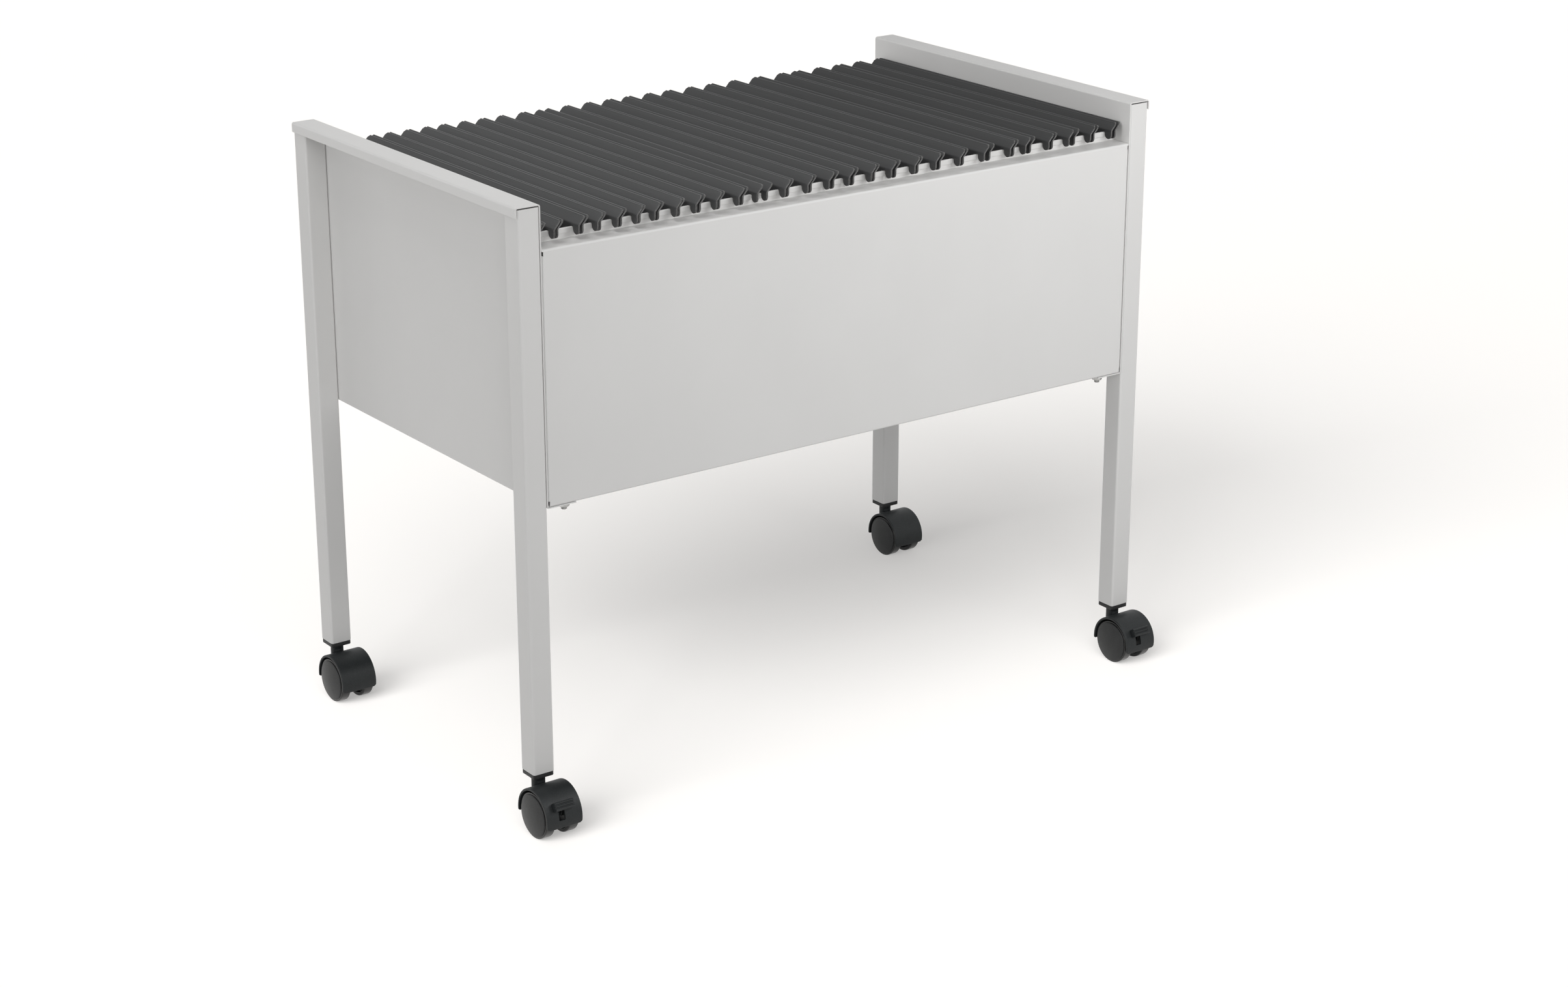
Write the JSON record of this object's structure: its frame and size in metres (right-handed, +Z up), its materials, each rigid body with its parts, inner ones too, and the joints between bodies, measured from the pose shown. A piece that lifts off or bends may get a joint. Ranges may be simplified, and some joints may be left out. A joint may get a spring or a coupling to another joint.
{
  "type": "mobile file cart",
  "caption": "Mobile file cart: a sheet metal tray on square tube legs with braked swivel casters, and suspension files that slide along its rails.",
  "frame": {"origin": "on the floor, at the centre of the four legs in plan", "axes": "+X along the rails to the right, +Y from the braked front casters to the back, +Z up"},
  "size_m": [0.671, 0.4018, 0.5296],
  "materials": {
    "sheet_paint": "light grey powder coat, satin, very fine orange peel",
    "tube_paint": "light grey powder coat, satin",
    "plug_plastic": "black moulded plastic",
    "plated_steel": "zinc-plated steel",
    "hood_plastic": "black plastic with a fine moulded texture",
    "wheel_plastic": "smooth black plastic, satin to glossy",
    "file_card": "dark grey card with fine lengthwise streaks"
  },
  "bodies": {
    "frame": {"end_panel_left": "sheet_paint", "end_panel_right": "sheet_paint", "front_panel": "sheet_paint", "back_panel": "sheet_paint", "leg_front_left": "tube_paint", "leg_front_right": "tube_paint", "leg_rear_left": "tube_paint", "leg_rear_right": "tube_paint", "leg_plugs": "plug_plastic", "swivel_stems": "plated_steel", "corner_bolts": "plated_steel", "corner_nuts": "plated_steel"},
    "caster_front_left": {"caster_hood_front_left": "hood_plastic", "axle_front_left": "plated_steel"},
    "wheel_front_left_outer": {"wheel_front_left_outer": "wheel_plastic"},
    "wheel_front_left_inner": {"wheel_front_left_inner": "wheel_plastic"},
    "brake_pedal_front_left": {"brake_pedal_front_left": "hood_plastic"},
    "caster_front_right": {"caster_hood_front_right": "hood_plastic", "axle_front_right": "plated_steel"},
    "wheel_front_right_outer": {"wheel_front_right_outer": "wheel_plastic"},
    "wheel_front_right_inner": {"wheel_front_right_inner": "wheel_plastic"},
    "brake_pedal_front_right": {"brake_pedal_front_right": "hood_plastic"},
    "caster_rear_left": {"caster_hood_rear_left": "hood_plastic", "axle_rear_left": "plated_steel"},
    "wheel_rear_left_outer": {"wheel_rear_left_outer": "wheel_plastic"},
    "wheel_rear_left_inner": {"wheel_rear_left_inner": "wheel_plastic"},
    "caster_rear_right": {"caster_hood_rear_right": "hood_plastic", "axle_rear_right": "plated_steel"},
    "wheel_rear_right_outer": {"wheel_rear_right_outer": "wheel_plastic"},
    "wheel_rear_right_inner": {"wheel_rear_right_inner": "wheel_plastic"},
    "hanging_file_01": {"hanging_file_01": "file_card"},
    "hanging_file_02": {"hanging_file_02": "file_card"},
    "hanging_file_03": {"hanging_file_03": "file_card"},
    "hanging_file_04": {"hanging_file_04": "file_card"},
    "hanging_file_05": {"hanging_file_05": "file_card"},
    "hanging_file_06": {"hanging_file_06": "file_card"},
    "hanging_file_07": {"hanging_file_07": "file_card"},
    "hanging_file_08": {"hanging_file_08": "file_card"},
    "hanging_file_09": {"hanging_file_09": "file_card"},
    "hanging_file_10": {"hanging_file_10": "file_card"},
    "hanging_file_11": {"hanging_file_11": "file_card"},
    "hanging_file_12": {"hanging_file_12": "file_card"},
    "hanging_file_13": {"hanging_file_13": "file_card"},
    "hanging_file_14": {"hanging_file_14": "file_card"},
    "hanging_file_15": {"hanging_file_15": "file_card"},
    "hanging_file_16": {"hanging_file_16": "file_card"},
    "hanging_file_17": {"hanging_file_17": "file_card"},
    "hanging_file_18": {"hanging_file_18": "file_card"},
    "hanging_file_19": {"hanging_file_19": "file_card"},
    "hanging_file_20": {"hanging_file_20": "file_card"},
    "hanging_file_21": {"hanging_file_21": "file_card"},
    "hanging_file_22": {"hanging_file_22": "file_card"},
    "hanging_file_23": {"hanging_file_23": "file_card"},
    "hanging_file_24": {"hanging_file_24": "file_card"},
    "hanging_file_25": {"hanging_file_25": "file_card"},
    "hanging_file_26": {"hanging_file_26": "file_card"},
    "hanging_file_27": {"hanging_file_27": "file_card"},
    "hanging_file_28": {"hanging_file_28": "file_card"}
  },
  "joints": [
    {"name": "swivel_front_left", "type": "hinge", "parent": "frame", "child": "caster_front_left", "pos_m": [-0.3165, -0.174, 0.0471], "axis": [0, 0, 1], "continuous": true},
    {"name": "spin_front_left_outer", "type": "hinge", "parent": "caster_front_left", "child": "wheel_front_left_outer", "pos_m": [-0.3165, -0.1915, 0.02], "axis": [1, 0, 0], "continuous": true},
    {"name": "spin_front_left_inner", "type": "hinge", "parent": "caster_front_left", "child": "wheel_front_left_inner", "pos_m": [-0.3165, -0.1915, 0.02], "axis": [1, 0, 0], "continuous": true},
    {"name": "brake_front_left", "type": "hinge", "parent": "caster_front_left", "child": "brake_pedal_front_left", "pos_m": [-0.3165, -0.1915, 0.02], "axis": [1, 0, 0], "range_deg": [0, 22]},
    {"name": "swivel_front_right", "type": "hinge", "parent": "frame", "child": "caster_front_right", "pos_m": [0.3165, -0.174, 0.0471], "axis": [0, 0, 1], "continuous": true},
    {"name": "spin_front_right_outer", "type": "hinge", "parent": "caster_front_right", "child": "wheel_front_right_outer", "pos_m": [0.3165, -0.1915, 0.02], "axis": [1, 0, 0], "continuous": true},
    {"name": "spin_front_right_inner", "type": "hinge", "parent": "caster_front_right", "child": "wheel_front_right_inner", "pos_m": [0.3165, -0.1915, 0.02], "axis": [1, 0, 0], "continuous": true},
    {"name": "brake_front_right", "type": "hinge", "parent": "caster_front_right", "child": "brake_pedal_front_right", "pos_m": [0.3165, -0.1915, 0.02], "axis": [1, 0, 0], "range_deg": [0, 22]},
    {"name": "swivel_rear_left", "type": "hinge", "parent": "frame", "child": "caster_rear_left", "pos_m": [-0.3165, 0.174, 0.0471], "axis": [0, 0, 1], "continuous": true},
    {"name": "spin_rear_left_outer", "type": "hinge", "parent": "caster_rear_left", "child": "wheel_rear_left_outer", "pos_m": [-0.3165, 0.1565, 0.02], "axis": [1, 0, 0], "continuous": true},
    {"name": "spin_rear_left_inner", "type": "hinge", "parent": "caster_rear_left", "child": "wheel_rear_left_inner", "pos_m": [-0.3165, 0.1565, 0.02], "axis": [1, 0, 0], "continuous": true},
    {"name": "swivel_rear_right", "type": "hinge", "parent": "frame", "child": "caster_rear_right", "pos_m": [0.3165, 0.174, 0.0471], "axis": [0, 0, 1], "continuous": true},
    {"name": "spin_rear_right_outer", "type": "hinge", "parent": "caster_rear_right", "child": "wheel_rear_right_outer", "pos_m": [0.3165, 0.1565, 0.02], "axis": [1, 0, 0], "continuous": true},
    {"name": "spin_rear_right_inner", "type": "hinge", "parent": "caster_rear_right", "child": "wheel_rear_right_inner", "pos_m": [0.3165, 0.1565, 0.02], "axis": [1, 0, 0], "continuous": true},
    {"name": "slide_file_01", "type": "slide", "parent": "frame", "child": "hanging_file_01", "axis": [1, 0, 0], "range_m": [-0.0013, 0.004]},
    {"name": "slide_file_02", "type": "slide", "parent": "frame", "child": "hanging_file_02", "axis": [1, 0, 0], "range_m": [-0.004, 0.0071]},
    {"name": "slide_file_03", "type": "slide", "parent": "frame", "child": "hanging_file_03", "axis": [1, 0, 0], "range_m": [-0.0071, 0.0043]},
    {"name": "slide_file_04", "type": "slide", "parent": "frame", "child": "hanging_file_04", "axis": [1, 0, 0], "range_m": [-0.0043, 0.0053]},
    {"name": "slide_file_05", "type": "slide", "parent": "frame", "child": "hanging_file_05", "axis": [1, 0, 0], "range_m": [-0.0053, 0.0049]},
    {"name": "slide_file_06", "type": "slide", "parent": "frame", "child": "hanging_file_06", "axis": [1, 0, 0], "range_m": [-0.0049, 0.0044]},
    {"name": "slide_file_07", "type": "slide", "parent": "frame", "child": "hanging_file_07", "axis": [1, 0, 0], "range_m": [-0.0044, 0.006]},
    {"name": "slide_file_08", "type": "slide", "parent": "frame", "child": "hanging_file_08", "axis": [1, 0, 0], "range_m": [-0.006, 0.0054]},
    {"name": "slide_file_09", "type": "slide", "parent": "frame", "child": "hanging_file_09", "axis": [1, 0, 0], "range_m": [-0.0054, 0.0054]},
    {"name": "slide_file_10", "type": "slide", "parent": "frame", "child": "hanging_file_10", "axis": [1, 0, 0], "range_m": [-0.0054, 0.007]},
    {"name": "slide_file_11", "type": "slide", "parent": "frame", "child": "hanging_file_11", "axis": [1, 0, 0], "range_m": [-0.007, 0.0046]},
    {"name": "slide_file_12", "type": "slide", "parent": "frame", "child": "hanging_file_12", "axis": [1, 0, 0], "range_m": [-0.0046, 0.0064]},
    {"name": "slide_file_13", "type": "slide", "parent": "frame", "child": "hanging_file_13", "axis": [1, 0, 0], "range_m": [-0.0064, 0.0073]},
    {"name": "slide_file_14", "type": "slide", "parent": "frame", "child": "hanging_file_14", "axis": [1, 0, 0], "range_m": [-0.0073, 0.0066]},
    {"name": "slide_file_15", "type": "slide", "parent": "frame", "child": "hanging_file_15", "axis": [1, 0, 0], "range_m": [-0.0066, 0.0054]},
    {"name": "slide_file_16", "type": "slide", "parent": "frame", "child": "hanging_file_16", "axis": [1, 0, 0], "range_m": [-0.0054, 0.0067]},
    {"name": "slide_file_17", "type": "slide", "parent": "frame", "child": "hanging_file_17", "axis": [1, 0, 0], "range_m": [-0.0067, 0.0062]},
    {"name": "slide_file_18", "type": "slide", "parent": "frame", "child": "hanging_file_18", "axis": [1, 0, 0], "range_m": [-0.0062, 0.0076]},
    {"name": "slide_file_19", "type": "slide", "parent": "frame", "child": "hanging_file_19", "axis": [1, 0, 0], "range_m": [-0.0076, 0.007]},
    {"name": "slide_file_20", "type": "slide", "parent": "frame", "child": "hanging_file_20", "axis": [1, 0, 0], "range_m": [-0.007, 0.0083]},
    {"name": "slide_file_21", "type": "slide", "parent": "frame", "child": "hanging_file_21", "axis": [1, 0, 0], "range_m": [-0.0083, 0.0089]},
    {"name": "slide_file_22", "type": "slide", "parent": "frame", "child": "hanging_file_22", "axis": [1, 0, 0], "range_m": [-0.0089, 0.0088]},
    {"name": "slide_file_23", "type": "slide", "parent": "frame", "child": "hanging_file_23", "axis": [1, 0, 0], "range_m": [-0.0088, 0.004]},
    {"name": "slide_file_24", "type": "slide", "parent": "frame", "child": "hanging_file_24", "axis": [1, 0, 0], "range_m": [-0.004, 0.0078]},
    {"name": "slide_file_25", "type": "slide", "parent": "frame", "child": "hanging_file_25", "axis": [1, 0, 0], "range_m": [-0.0078, 0.0068]},
    {"name": "slide_file_26", "type": "slide", "parent": "frame", "child": "hanging_file_26", "axis": [1, 0, 0], "range_m": [-0.0068, 0.0066]},
    {"name": "slide_file_27", "type": "slide", "parent": "frame", "child": "hanging_file_27", "axis": [1, 0, 0], "range_m": [-0.0066, 0.0075]},
    {"name": "slide_file_28", "type": "slide", "parent": "frame", "child": "hanging_file_28", "axis": [1, 0, 0], "range_m": [-0.0075, 0.0009]}
  ]
}
